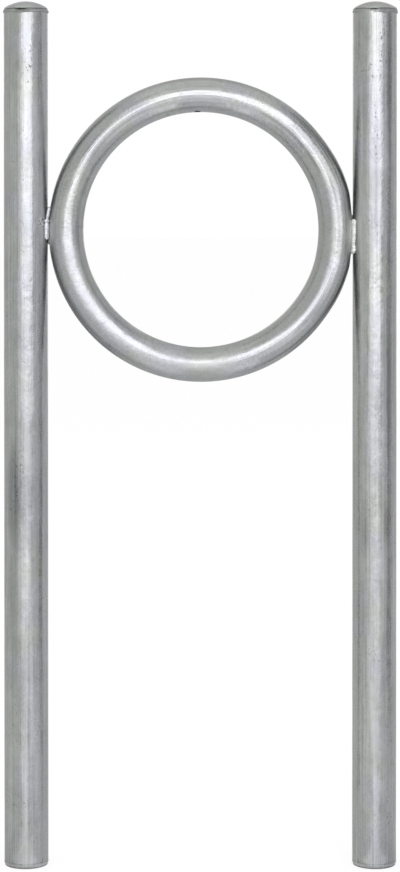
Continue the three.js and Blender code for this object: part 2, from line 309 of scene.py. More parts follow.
class ShapeTree(Tree):
    """Geometry Nodes tree with named inputs, applied to a new mesh and then removed."""

    SOCKETS = {float: "NodeSocketFloat", bpy.types.Material: "NodeSocketMaterial"}

    def __init__(self, name, inputs):
        super().__init__(bpy.data.node_groups.new(name, "GeometryNodeTree"))
        new_socket = self.group.interface.new_socket
        new_socket("Geometry", in_out="OUTPUT", socket_type="NodeSocketGeometry")
        for key, value in inputs.items():
            new_socket(key, in_out="INPUT", socket_type=self.SOCKETS[type(value)])
        self.inputs = inputs
        self.given = self.add("NodeGroupInput")

    def size(self, key):
        return self.given.output(key)

    def grid(self, columns, rows):
        """Sheet of faces with its two places counted from 0 to 1."""
        sockets = {"Size X": 1.0, "Size Y": 1.0, "Vertices X": columns, "Vertices Y": rows}
        sheet = self.add("GeometryNodeMeshGrid", None, sockets)
        x, y, _ = self.split(self.add("GeometryNodeInputPosition"))
        return sheet, x + 0.5, y + 0.5

    def slab(self, columns, rows):
        """Two sheets joined at their rims, as a tube's two faces, with the seam left open."""
        sockets = {"Vertices X": columns, "Vertices Y": rows, "Vertices Z": 2}
        block = self.add("GeometryNodeMeshCube", None, sockets)
        facing, _, _ = self.split(self.add("GeometryNodeInputNormal"))
        seam = facing.abs().maths("GREATER_THAN", 0.5)
        sheet = self.add("GeometryNodeDeleteGeometry", {"domain": "FACE"}, {0: block, 1: seam})
        x, y, z = self.split(self.add("GeometryNodeInputPosition"))
        return sheet, x + 0.5, y + 0.5, z + 0.5

    def moved(self, sheet, place):
        """The sheet at its true place, with seams and poles merged."""
        placed = self.add("GeometryNodeSetPosition", None, {0: sheet, 2: place})
        sockets = {0: placed, "Distance": MERGE_DISTANCE}
        return self.add("GeometryNodeMergeByDistance", None, sockets)

    def drill(self, radius, depth, place, turn):
        """Round cutter at a place, turned by three angles."""
        sockets = {"Vertices": 40, "Radius": radius, "Depth": depth}
        cutter = self.add("GeometryNodeMeshCylinder", None, sockets)
        turned = self.add("FunctionNodeEulerToRotation", None, {0: turn})
        return self.add("GeometryNodeTransform", None, {0: cutter, 1: place, 2: turned})

    def cut(self, solid, cutters):
        settings = {"operation": "DIFFERENCE", "solver": "EXACT"}
        return self.add("GeometryNodeMeshBoolean", settings, {0: solid, 1: cutters})

    def finish(self, shape):
        """Shades the shape smooth except at its corners, sets its material and ends the tree."""
        smooth = self.add("GeometryNodeSetShadeSmooth", {"domain": "FACE"}, {0: shape, 2: True})
        corner = self.add("GeometryNodeInputMeshEdgeAngle").maths("GREATER_THAN", SHARP_ANGLE)
        sockets = {0: smooth, 1: corner, 2: False}
        edged = self.add("GeometryNodeSetShadeSmooth", {"domain": "EDGE"}, sockets)
        real = self.add("GeometryNodeRealizeInstances", None, {0: edged})
        sockets = {0: real, "Material": self.size("Material")}
        coated = self.add("GeometryNodeSetMaterial", None, sockets)
        self.add("NodeGroupOutput", None, {0: coated})

    def make(self, name, **changes):
        """A new piece from the tree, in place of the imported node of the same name."""
        piece = bpy.data.objects.new(name + "_dressed", bpy.data.meshes.new(name))
        bpy.context.scene.collection.objects.link(piece)
        modifier = piece.modifiers.new("Shape", "NODES")
        modifier.node_group = self.group
        given = {**self.inputs, **{title(key): value for key, value in changes.items()}}
        for item in self.group.interface.items_tree:
            if item.in_out == "INPUT":
                modifier[item.identifier] = given[item.name]
        graph = bpy.context.evaluated_depsgraph_get()
        mesh = bpy.data.meshes.new_from_object(piece.evaluated_get(graph), depsgraph=graph)
        piece.modifiers.remove(modifier)
        piece.data = mesh
        mesh.name = name
        if not mesh.polygons:
            raise RuntimeError(f"{name} came out empty")
        if enclosed_volume(mesh) < 0:
            mesh.flip_normals()
        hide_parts(name)
        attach(piece, "root")


def enclosed_volume(mesh):
    mesh.calc_loop_triangles()
    corners = ([mesh.vertices[i].co for i in triangle.vertices] for triangle in mesh.loop_triangles)
    return sum(a.dot(b.cross(c)) for a, b, c in corners) / 6


def shader_tree(owner):
    """Emptied shader tree of a material or world."""
    owner.use_nodes = True
    owner.node_tree.nodes.clear()
    return Tree(owner.node_tree)


def spot(tree, place, centre, radii, soft=1.0):
    """Mask that is 1 in the middle of an egg shape and fades to 0 at its outline."""
    scaled = tree.vectors("DIVIDE", tree.vectors("SUBTRACT", place, centre), radii)
    return tree.ramp(tree.vectors("LENGTH", scaled, output=1), 1.0 - soft, 1.0, 1.0, 0.0)


def zinc(name, flow, brighter=1.0, rougher=1.0, streaked=1.0, mottled=1.0, lined=1.0,
         stains_and_painted_shade=(), dull_and_painted_light=(), flecked=(), calm=None, extra=None):
    """Hot-dip zinc, made the first time it is asked for: patches, streaks and drawn lines that
    follow the tube, mottling and flecks. A stain is a centre, three radii, how much darker it is
    and how soft its rim is; some are real, others painted shade. A rough place is a centre,
    radii, added roughness and brightness, its added brightness painted light, and a flecked place
    a centre and radii. Calm is a mask of smooth places, extra is added brightness, partly painted
    light and shade."""
    if name in bpy.data.materials:
        return bpy.data.materials[name]
    look, tubes = bpy.context.scene.rack_zinc, bpy.context.scene.rack_tubes
    material = bpy.data.materials.new(name)
    tree = shader_tree(material)
    place = tree.add("ShaderNodeTexCoord", output=3)
    x, y, z = tree.split(place)
    if flow == "ring":
        height = z - RING_HEIGHT
        out = (x * x + height * height).maths("SQRT")
        run = 0.05 * RING_REACH
        streak_place = tree.vector(out, y, x / out * run)
        streak_seed = height / out * (run * 60)
        stretched = place
        across, half = out - tubes.ring_radius, tubes.ring_half_width
        turned_right = across * (x - height) / out * (0.7 / half)
        sides = tree.ramp(across.abs(), 0.5 * half, 0.74 * half)
    else:
        streak_place = tree.vector(x, y, z * 0.035)
        streak_seed = 0.0
        stretched = tree.vectors("MULTIPLY", place, (1, 1, 0.75))
        turned_right = (x - x.maths("SIGN") * POST_OFFSET) / POST_RADIUS
        sides = 0.0
    rest = calm(tree, place) if calm else 0.0
    lively = 1 - 0.95 * rest if calm else 1.0
    patch = tree.noise(stretched, 9, 2, seed=1.7, distortion=0.4)
    grain = tree.noise(stretched, 26, 5, seed=4.1, roughness=0.95)
    cloud = tree.noise(stretched, 40, 2, seed=6.4)
    ripple = tree.noise(stretched, 105, 2, seed=7.3, distortion=0.5)
    streak = tree.noise(streak_place, 210, 2.5, seed=streak_seed, roughness=0.8)
    line_place = tree.vectors("MULTIPLY", streak_place, (1, 1, 0.2))
    line = tree.noise(line_place, 460, 2, seed=streak_seed, roughness=0.7)
    mottle = tree.noise(stretched, 240, 3, seed=2.9, roughness=0.7)
    fleck = tree.noise(stretched, 330, 2, seed=5.2, roughness=0.6)
    fleck_zone = tree.ramp(tree.noise(place, 20, 3, seed=8.8), 0.54, 0.68)
    for centre, radii in flecked:
        fleck_zone = fleck_zone.maths("MAXIMUM", spot(tree, place, centre, radii, 0.7) * 1.3)
    flecks = tree.ramp(fleck, 0.57, 0.66) * fleck_zone * lively * min(mottled, 1.0)

    light = (1
             + (patch - 0.5) * (2.2 * look.patch_share)
             + (grain - 0.5) * (7.5 * look.mottle_share * mottled * lively)
             + (streak - 0.5) * (3.6 * look.streak_share * streaked)
             + (line - 0.5) * (4 * look.line_share * lined)
             - flecks * 0.3)
    if extra:
        light = light + extra(tree, place, grain)
    # Tone: warm and cool mixed at random, leaning cool on surfaces that face right and, on the
    # ring, also down: painted light colour.
    tint_noise = tree.noise(place, 16, 2, seed=3.3)
    tint = tree.ramp(tint_noise + (streak - 0.5) * 0.4 + turned_right * 0.15, 0.38, 0.62)
    tone = tree.add("ShaderNodeMix", {"data_type": "RGBA"},
                    {0: tint, 6: (*look.warm, 1), 7: (*look.cool, 1)}, 2)
    rough = (look.roughness * rougher
             + (patch - 0.5) * 0.36
             + (grain - 0.5) * (0.45 * mottled * lively)
             + (mottle - 0.5) * (0.1 * mottled * lively)
             + (cloud - 0.5) * (0.3 * lively)
             + (line - 0.5) * (0.22 * lined)
             - rest * 0.08
             + sides * 0.1
             + flecks * 0.2)
    uneven = 0.3 + 1.4 * grain
    for centre, radii, depth, *soft in stains_and_painted_shade:
        mask = spot(tree, place, centre, radii, *soft)
        light = light - mask * (depth * uneven)
        rough = rough + mask * (depth * 0.3)
    for centre, radii, rise, paler in dull_and_painted_light:
        mask = spot(tree, place, centre, radii)
        light = light + mask * paler
        rough = rough + mask * rise
    base = tree.vectors("SCALE", tone, Scale=light * brighter)
    relief = ((mottle - 0.5) * (0.075 * mottled * lively)
              + (ripple - 0.5) * (0.36 * max(mottled, 0.8) * lively)
              + (cloud - 0.5) * (0.85 * lively)
              + (streak - 0.5) * (0.06 * streaked)
              + (line - 0.5) * (0.03 * lined)
              - flecks * 0.06)
    normal = tree.add("ShaderNodeBump", None, {"Strength": 1.0, "Distance": MM, "Height": relief})
    shader = tree.add("ShaderNodeBsdfPrincipled", None, {
        "Base Color": base, "Roughness": rough, "Metallic": look.metallic, "Normal": normal,
        "Specular Tint": (*look.edge_tint, 1)})
    tree.add("ShaderNodeOutputMaterial", None, {0: shader})
    return material


def post_zinc(side):
    x = side * POST_OFFSET
    if side < 0:
        stains_and_painted_shade = [
            ((x - 0.016, -0.026, 0.508), (0.0145, 0.02, 0.095), 0.32, 0.75),
            ((x - 0.001, -0.03, 0.405), (0.0105, 0.03, 0.05), -0.17, 0.3),
            ((x - 0.014, -0.026, 0.36), (0.011, 0.02, 0.12), 0.12),
            ((x - 0.001, -0.03, 0.555), (0.018, 0.03, 0.088), 0.09, 0.25),
            # Painted shade on the outer side just above the floor.
            ((x - 0.018, -0.02, 0.01), (0.018, 0.03, 0.06), 0.16),
        ]
        flecked = [((x + 0.006, -0.03, 1.10), (0.012, 0.02, 0.05)),
                   ((x + 0.023, -0.018, RING_HEIGHT + 0.012), (0.008, 0.012, 0.014)),
                   ((x - 0.01, -0.03, 0.54), (0.014, 0.02, 0.06))]
    else:
        stains_and_painted_shade = [
            # Painted shade: the dark strip that the right side reflects below the cap.
            ((x + 0.018, -0.024, 1.07), (0.007, 0.012, 0.16), 0.22),
            ((x - 0.001, -0.03, 0.93), (0.0075, 0.02, 0.13), 0.27),
            ((x - 0.0145, -0.026, 0.455), (0.008, 0.02, 0.035), 0.22),
            ((x + 0.0155, -0.026, 0.47), (0.0075, 0.02, 0.045), 0.2, 0.8),
            ((x + 0.003, -0.03, 0.335), (0.0105, 0.03, 0.06), -0.15, 0.6),
            # Painted shade on the outer side just above the floor.
            ((x + 0.018, -0.02, 0.01), (0.018, 0.03, 0.06), 0.16),
        ]
        flecked = [((x + 0.010, -0.028, 1.10), (0.012, 0.02, 0.10)),
                   ((x - 0.001, -0.03, 0.995), (0.008, 0.02, 0.07))]

    def painted_edge_light_and_spatter(tree, place, grain):
        """Painted shade and highlight in lines along the lower edge, and weld spatter on the
        left post beside the joint.
        """
        _, _, z = tree.split(place)
        # Painted contact shade at the lower edge, a painted highlight on the drained rim above it
        # and a thin painted shade line at the top of the rolled edge.
        dark = tree.ramp(z, 0.7 * MM, 2.2 * MM, -0.4, 0)
        pale = tree.ramp((z - 3.4 * MM).abs(), 0.4 * MM, 1.7 * MM, 0.2, 0)
        thin = tree.ramp((z - 6.4 * MM).abs(), 0, 1.1 * MM, -0.22, 0)
        lines = dark + (pale + thin) * (0.2 + 1.6 * grain)
        if side > 0:
            return lines
        beside = spot(tree, place, (x + 0.023, -0.02, RING_HEIGHT + 0.0105),
                      (0.0065, 0.02, 0.0085), 0.6)
        spatter = tree.ramp(tree.noise(place, 300, 0, seed=9.4), 0.36, 0.64, -0.6, 0.7)
        return lines + beside * spatter

    # Rougher zinc on each post's inner side beside the ring, made paler as painted light that
    # lightens the shade there.
    dull_and_painted_light = [((x - side * 0.0225, -0.02, RING_HEIGHT - 0.02), (0.009, 0.02, 0.3), 0.1, 0.35)]
    name = "left_post_zinc" if side < 0 else "right_post_zinc"
    return zinc(name, "upright", stains_and_painted_shade=stains_and_painted_shade, dull_and_painted_light=dull_and_painted_light, flecked=flecked, extra=painted_edge_light_and_spatter)


def ring_zinc():
    shift = bpy.context.scene.rack_tubes.ring_shift
    middle = RING_HEIGHT - bpy.context.scene.rack_tubes.ring_drop

    def polar(tree, place):
        """Distance from the middle of the ring, and how near a place is to a bearing, 1 on it."""
        x, _, z = tree.split(place)
        x, height = x - shift, z - middle
        out = (x * x + height * height).maths("SQRT")
        return out, lambda bearing: (x * cosine(bearing) + height * cosine(bearing - 90)) / out

    def calm(tree, place):
        """Smooth at the upper left and at the lower right, mottled elsewhere."""
        _, near = polar(tree, place)
        return tree.ramp(near(115), 0.8, 0.91).maths("MAXIMUM", tree.ramp(near(318), 0.86, 0.95))

    def painted_highlight_and_shade_bands(tree, place, grain):
        """Painted highlight and painted shade in strips along the tube, which set the width of the
        highlight and darken its edges. Each has its depth inwards from the outer edge,
        half width and soft rim in millimetres, then for each part of the ring its bearing, how
        near to it the band starts and is full, and the change of brightness there."""
        out, near = polar(tree, place)
        change = 0.0
        for depth, half, soft, parts in (
                (0, 1.5, 4.5, ((322, 0.93, 0.985, -0.52), (219, 0.93, 0.985, -0.5),
                               (32, 0.92, 0.97, -0.3))),
                (6, 1.2, 1.6, ((36, 0.93, 0.97, 0.2), (334, 0.94, 0.98, 0.15))),
                (15.9, 3.7, 1.8, ((31, 0.92, 0.98, -0.25),)),
                (19.9, 0.5, 3, ((8, 0.95, 0.985, -0.2), (135, 0.84, 0.95, -0.24),
                                (128, 0.95, 0.985, -0.18), (170, 0.97, 0.99, -0.18),
                                (328, 0.95, 0.985, -0.26))),
                (24.8, 0.7, 1.8, ((268, 0.66, 0.8, -0.2), (42, 0.92, 0.97, 0.2),
                                  (153, 0.95, 0.98, 0.12))),
                (28.4, 1.4, 1.8, ((45, 0.93, 0.975, -0.24), (130, 0.93, 0.975, -0.2))),
                (47.6, 1.5, 3, ((192, 0.7, 0.9, -0.16),))):
            away = (out - (RING_REACH - depth * MM)).abs()
            band = tree.ramp(away, half * MM, (half + soft) * MM, 1, 0)
            for bearing, start, full, shade in parts:
                change = change + band * tree.ramp(near(bearing), start, full, 0, shade)
        return change

    stains_and_painted_shade = [
        ((-0.1655, -0.012, middle + 0.0045), (0.008, 0.02, 0.0016), 0.2),
        ((-0.044, -0.012, middle + 0.157), (0.002, 0.01, 0.002), 0.5),
        # Painted shade round the vent hole.
        ((-0.0042, -0.004, middle + 0.1618), (0.0052, 0.02, 0.0017), 0.75, 0.5),
    ]
    dull_and_painted_light = [
        # The first two: rougher zinc at the ring's outer edge by each joint, made paler as painted
        # light that lifts the shade from the post beside it. The last two are only smoother.
        ((-0.2085, -0.006, middle - 0.002), (0.013, 0.03, 0.05), 0.6, 1.7),
        ((0.2085, -0.006, middle - 0.006), (0.014, 0.03, 0.055), 0.6, 1.7),
        ((0.135, -0.02, middle + 0.127), (0.13, 0.08, 0.13), -0.1, 0.0),
        ((-0.167, -0.02, middle + 0.083), (0.09, 0.08, 0.09), -0.1, 0.0),
    ]
    flecked = [((-0.176, -0.02, middle + 0.066), (0.025, 0.04, 0.055)),
               ((0.137, -0.02, middle + 0.13), (0.055, 0.04, 0.05))]
    return zinc("ring_zinc", "ring", mottled=0.5, lined=0.3, stains_and_painted_shade=stains_and_painted_shade, dull_and_painted_light=dull_and_painted_light,
                flecked=flecked, calm=calm, extra=painted_highlight_and_shade_bands)


def below_cap_edge(depth):
    """Height that lies a depth in millimetres below the edge of a cap."""
    return CAP_TOP - bpy.context.scene.rack_tubes.cap_rise - depth * MM


def crease(fade):
    """Painted shade in a ragged line where a cap meets its weld, gone at a distance in millimetres
    above the seam.
    """
    seam = below_cap_edge(1.9)

    def dark(tree, place, grain):
        _, _, z = tree.split(place)
        ragged = tree.noise(place, 260, 2, seed=7.7) * 3.2 - 0.6
        return tree.ramp((z - seam) / (fade * MM), 0, 1, -0.3, 0) * ragged
    return dark


def slits():
    """Painted shade in the vent slits at the front, where the bead round each cap dips, and painted
    shade below them that dims the bead's highlight.
    """
    seam = below_cap_edge(2.2)
    return [
        ((-POST_OFFSET - 0.005, -0.028, seam), (0.0115, 0.009, 0.0013), 0.62, 0.7),
        ((POST_OFFSET - 0.0035, -0.028, seam), (0.0065, 0.009, 0.0011), 0.6, 0.7),
        ((-POST_OFFSET - 0.001, -0.03, seam - 2.6 * MM), (0.016, 0.012, 0.0034), 0.3, 0.6),
        ((POST_OFFSET + 0.0085, -0.028, seam - 2.2 * MM), (0.008, 0.012, 0.0045), 0.34, 0.6),
    ]


def cap_zinc():
    return zinc("cap_zinc", "upright", brighter=1.1, rougher=1.5, streaked=0.3, mottled=1.3,
                lined=0.0, stains_and_painted_shade=slits(), extra=crease(0.6))


def bead_zinc():
    return zinc("bead_zinc", "upright", brighter=0.9, rougher=2.0, streaked=0.0, mottled=1.2,
                lined=0.0, stains_and_painted_shade=slits(), extra=crease(-0.7))


def weld_zinc():
    return zinc("weld_zinc", "upright", brighter=1.22, rougher=1.25, streaked=0.0, mottled=1.4,
                lined=0.0)


class BIKERACK_OT_posts(bpy.types.Operator):
    """Add the two tube posts, each with its rolled lower edge, weld bevel and hanging hole"""

    bl_idname = "bike_rack.add_posts"
    bl_label = "Add Posts"

    def execute(self, context):
        tubes = context.scene.rack_tubes
        tree = ShapeTree("Post Tube", {
            "Side": POST_OFFSET, "Length": POST_LENGTH, "Radius": POST_RADIUS,
            "Wall": tubes.post_wall,
            **inputs_from(tubes, "edge_roll", "edge_roll_height", "bevel_depth", "bevel_height",
                          "drip_rim", "hole_film"),
            "Wave": tubes.post_wave, "Seed": 0.0, "Hole": tubes.hanging_hole,
            "Hole Height": tubes.hanging_hole_height, "Hole Turn": 0.0, "Material": post_zinc(1),
        })
        size = tree.size
        sides, end_rows, middle_rows = 88, 16, 240
        rows, end_step, tall = 2 * end_rows + middle_rows, 0.7 * MM, size("Length")
        sheet, around, up, out = tree.slab(sides + 1, rows + 1)
        row = up * rows
        middle_step = (tall - 2 * end_rows * end_step) / middle_rows
        height = (row.maths("MINIMUM", end_rows) * end_step
                  + (row - end_rows).maths("MAXIMUM", 0).maths("MINIMUM", middle_rows) * middle_step
                  + (row - (end_rows + middle_rows)).maths("MAXIMUM", 0) * end_step)
        turn = around * TURN
        across, deep = turn.cos(), turn.sin()
        wave_place = tree.vector(across, deep, height * 9)
        fine_place = tree.vector(across * 2.2, deep * 2.2, height * 30)
        wave = (tree.noise(wave_place, 1.1, 2, seed=size("Seed"))
                + 0.35 * tree.noise(fine_place, 1.0, 2, seed=size("Seed") + 3) - 0.675)
        rolled = tree.ramp(height, 0, size("Edge Roll Height"), size("Edge Roll"), 0)
        bevel = tree.ramp(height, tall - size("Bevel Height"), tall, 0, size("Bevel Depth"))
        rim_height, rim_half_width = 3.1 * MM, 1.5 * MM
        rim = ((height - rim_height) / rim_half_width).bell() * size("Drip Rim")
        outer = size("Radius") - rolled - bevel + rim + wave * size("Wave")
        bore = size("Radius") - size("Wall")
        radius = tree.mix(out, bore, outer)
        place = tree.vector(across * radius + size("Side"), deep * radius, height)
        tube = tree.moved(sheet, place)
        aim = size("Hole Turn")
        depth = size("Wall") * 2
        middle = bore + size("Hole Film") + depth / 2
        hole_place = tree.vector(aim.sin() * middle + size("Side"),
                                 -(aim.cos() * middle), size("Hole Height"))
        hole = tree.drill(size("Hole") / 2, depth, hole_place, tree.vector(math.pi / 2, 0, aim))
        tree.finish(tree.cut(tube, [hole]))
        for name, side, seed in (("left_post", -1, 2.4), ("right_post", 1, 6.1)):
            tree.make(name, side=side * POST_OFFSET, seed=seed,
                      hole_turn=-side * tubes.hanging_hole_angle, material=post_zinc(side))
        return {"FINISHED"}


# Moves the ring's rows of faces apart at its sides and together at its front and back
CROWN_SPREAD = 0.36


def ring_inputs(tubes):
    return {"Radius": tubes.ring_radius, "Height": RING_HEIGHT - tubes.ring_drop,
            "Side": tubes.ring_shift, "Half Width": tubes.ring_half_width,
            "Half Depth": RING_HALF_DEPTH}


def bent_tube(tree, columns, rows, wall, rolled):
    """The ring's tube, rolled with ridge and waves, or its plain bore a wall further in."""
    size = tree.size
    sheet, along, around = tree.grid(columns + 1, rows + 1)
    bend, even = along * TURN, around * TURN
    turn = even + (2 * even).sin() * CROWN_SPREAD
    bend_x, bend_z = bend.cos(), bend.sin()
    out, front = turn.cos(), turn.sin()
    half_width = size("Half Width") - wall
    half_depth = size("Half Depth") - wall
    ridge = 0.0

    def near(bearing, start, full, low=0.0, high=1.0):
        """Rises from low to high where the ring's bearing comes near to a given one."""
        return tree.ramp((bend - radians(bearing)).cos(), start, full, low, high)

    if rolled:
        spot_place = tree.vector(bend_x * 3, bend_z * 3, out)
        wave = tree.noise(spot_place, 1.3, 2, seed=5.5) - 0.5
        half_width = half_width + wave * size("Wave")
        half_depth = half_depth + wave * size("Wave")
        reach = out * half_width / size("Ridge Width")
        crisp = near(124, 0.62, 0.86, 0.12, 1) + near(318, 0.6, 0.9, 0, 0.75)
        ridge = reach.bell() * size("Ridge Height") * crisp
        flat = tree.mix(out.maths("GREATER_THAN", 0), near(212, 0.72, 0.92), near(-8, 0.78, 0.95))
        leaning = near(8, 0.3, 0.75)
        half_depth = half_depth * (1 + out * out * flat * size("Flatness")
                                   + out * leaning * size("Lean"))
    near_post = near(0, cosine(15), cosine(4))
    swell = near(0, cosine(36), cosine(20)) * (1 - near_post) * size("Swell")
    press = near_post * size("Press")
    distance = (size("Radius") + out * half_width
                + swell * (0.65 + 0.35 * out) - press * (0.5 + 0.5 * out))
    depth = front * (half_depth + ridge)
    return tree.moved(sheet, tree.vector(bend_x * distance + size("Side"), -depth,
                                         bend_z * distance + size("Height")))


def ring_hole(tree, diameter, place, tilt):
    """Cutter for a hole in the inner side of the ring's tube, tilted towards the front."""
    size = tree.size
    aim = size(place)
    middle = size("Half Width") - size("Wall") / 2
    reach = size("Radius") - middle * tree.maths("COSINE", tilt)
    where = tree.vector(aim.cos() * reach + size("Side"), -(middle * tree.maths("SINE", tilt)),
                        aim.sin() * reach + size("Height"))
    turn = tree.vector(-tilt, math.pi / 2 - aim, 0.0)
    return tree.drill(size(diameter) / 2, size("Wall") * 3, where, turn)


class BIKERACK_OT_ring(bpy.types.Operator):
    """Add the rolled ring with its roller ridge, vent hole and drain hole"""

    bl_idname = "bike_rack.add_ring"
    bl_label = "Add Ring"

    def execute(self, context):
        tubes = context.scene.rack_tubes
        tree = ShapeTree("Rolled Ring", {
            **ring_inputs(tubes), "Wall": tubes.ring_wall, "Wave": tubes.ring_wave,
            **inputs_from(tubes, "swell", "press", "ridge_height", "ridge_width", "flatness",
                          "lean", "vent", "vent_angle", "vent_tilt", "drain", "drain_angle"),
            "Material": ring_zinc(),
        })
        tube = bent_tube(tree, 360, 96, wall=0.0, rolled=True)
        bore = bent_tube(tree, 120, 32, wall=tree.size("Wall"), rolled=False)
        vent = ring_hole(tree, "Vent", "Vent Angle", tree.size("Vent Tilt"))
        drain = ring_hole(tree, "Drain", "Drain Angle", 0.0)
        tree.finish(tree.cut(tube, [bore, vent, drain]))
        tree.make("ring")
        return {"FINISHED"}


class BIKERACK_OT_caps(bpy.types.Operator):
    """Add the domed caps of the posts"""

    bl_idname = "bike_rack.add_caps"
    bl_label = "Add Caps"

    def execute(self, context):
        tubes = context.scene.rack_tubes
        dome = (CAP_RADIUS ** 2 + tubes.cap_rise ** 2) / (2 * tubes.cap_rise)
        tree = ShapeTree("Domed Cap", {
            "Side": POST_OFFSET, "Dome Radius": dome, "Edge Angle": math.asin(CAP_RADIUS / dome),
            "Top": CAP_TOP, "Thickness": tubes.cap_thickness, "Wave": tubes.cap_wave, "Seed": 0.0,
            "Material": cap_zinc(),
        })
        size = tree.size
        sides, rows = 88, 24
        sheet, around, up, out = tree.slab(sides + 1, rows + 1)
        _, facing, _ = tree.split(tree.add("GeometryNodeInputNormal"))
        pole = facing.maths("GREATER_THAN", 0.5)
        sheet = tree.add("GeometryNodeDeleteGeometry", {"domain": "FACE"}, {0: sheet, 1: pole})
        turn = around * TURN
        slope = (1 - up) * size("Edge Angle")
        flat_x, flat_y = turn.cos() * slope, turn.sin() * slope
        wave = tree.noise(tree.vector(flat_x, flat_y, 0.0), 5, 3, seed=size("Seed")) - 0.5
        rounding = tree.ramp(up, 0, 0.06, 0.45 * MM, 0)
        inner = size("Dome Radius") - size("Thickness")
        radius = tree.mix(out, inner, size("Dome Radius") - rounding + wave * size("Wave"))
        reach = slope.sin() * radius
        height = size("Top") - size("Dome Radius") + slope.cos() * radius
        place = tree.vector(turn.cos() * reach + size("Side"), turn.sin() * reach, height)
        tree.finish(tree.moved(sheet, place))
        tree.make("left_cap", side=-POST_OFFSET, seed=1.0)
        tree.make("right_cap", side=POST_OFFSET + RIGHT_CAP_SHIFT, seed=9.0)
        return {"FINISHED"}


def bead_sheet(tree, stations, around, closed):
    """Sheet that becomes a weld bead: the place along it, the turn about it and how full it is.
    Ripples lean one way like overlapping scales, and an open bead is rounded off at both ends."""
    size = tree.size
    sheet, along, turned = tree.grid(stations + 1, around + 1)
    ripple = (along * size("Ripples")).maths("FRACT")
    scales = 1 - (1 - ripple) * (1 - ripple)
    full = 1 + (scales - 0.6) * size("Ripple Share")
    if not closed:
        end = (along.maths("MINIMUM", 1 - along) / size("End Share")).maths("MINIMUM", 1)
        full = full * (1 - (1 - end) * (1 - end)).maths("MAXIMUM", 0).maths("SQRT")
    return sheet, along, turned * TURN, full


class BIKERACK_OT_cap_welds(bpy.types.Operator):
    """Add the bead round each cap, which dips at the front and leaves a vent slit above it"""

    bl_idname = "bike_rack.add_cap_welds"
    bl_label = "Add Cap Welds"

    def execute(self, context):
        welds = context.scene.rack_welds
        tree = ShapeTree("Cap Weld", {
            "Side": POST_OFFSET, "Line Radius": POST_RADIUS, "Line Height": POST_LENGTH,
            "Half Height": 3.3 * MM, "Half Depth": 1.7 * MM, "Tilt": 0.0,
            "Ripples": float(round(TURN * POST_RADIUS / welds.ripple_pitch)),
            **inputs_from(welds, "ripple_share", "waver"), "Seed": 0.0,
            "Slit Place": 0.0, "Slit Spread": 0.2, "Slit": 0.0,
            "Lump Place": 0.0, "Lump": 0.0, "Nick Place": 0.0, "Nick": 0.0,
            "Flush Place": 0.0, "Flush Spread": 0.5, "Flush": 0.0,
            "Material": bead_zinc(),
        })
        size = tree.size
        sheet, along, turn, full = bead_sheet(tree, stations=560, around=20, closed=True)
        aim = along * TURN
        sin, cos = aim.sin(), aim.cos()
        circle, seed = tree.vector(sin, cos, 0.0), size("Seed")
        drift = tree.noise(circle, 3.5, 3, seed=seed) - 0.5
        swell = tree.noise(circle, 6, 3, seed=seed + 4) - 0.5
        ragged = tree.noise(circle, 16, 2, seed=seed + 8) - 0.5

        def hump(place, spread):
            apart = 1 - (aim - size(place)).cos()
            return (apart * -2 / (spread * spread)).maths("EXPONENT")

        lump = hump("Lump Place", 0.15) * size("Lump")
        nick = hump("Nick Place", 0.07) * size("Nick")
        slit = hump("Slit Place", size("Slit Spread")) * size("Slit")
        flush = hump("Flush Place", size("Flush Spread")) * size("Flush")
        full = full * (1 + swell * 0.35 + ragged * 0.2 + lump) * (1 - nick) * (1 - flush * 0.3)
        high = (size("Half Height") - slit * 0.5) * turn.cos() * full
        deep = size("Half Depth") * turn.sin() * full
        tilt_sin, tilt_cos = size("Tilt").sin(), size("Tilt").cos()
        radius = (size("Line Radius") - flush * 0.8 * MM + slit * 0.3
                  + high * tilt_sin + deep * tilt_cos)
        height = (size("Line Height") - high * tilt_cos + deep * tilt_sin
                  + (drift * 2 + ragged * 1.2) * size("Waver") - slit)
        place = tree.vector(sin * radius + size("Side"), -(cos * radius), height)
        tree.finish(tree.moved(sheet, place))
        tree.make("left_cap_weld", side=-POST_OFFSET, seed=2.0, tilt=radians(38),
                  line_radius=POST_RADIUS - 1.75 * MM, line_height=POST_LENGTH - 0.6 * MM,
                  half_height=3.7 * MM, half_depth=1.75 * MM, lump_place=radians(82), lump=0.2,
                  slit_place=radians(-11), slit_spread=radians(14), slit=2.2 * MM)
        tree.make("right_cap_weld", side=POST_OFFSET + 0.4 * RIGHT_CAP_SHIFT, seed=5.0,
                  tilt=radians(14), line_radius=POST_RADIUS - 0.9 * MM,
                  line_height=POST_LENGTH - 1.3 * MM, half_height=3.4 * MM, half_depth=1.5 * MM,
                  lump_place=radians(26), lump=0.25, nick_place=radians(272), nick=0.45,
                  slit_place=radians(-7), slit_spread=radians(9), slit=1.7 * MM,
                  flush_place=radians(-15), flush_spread=radians(22), flush=0.9)
        return {"FINISHED"}


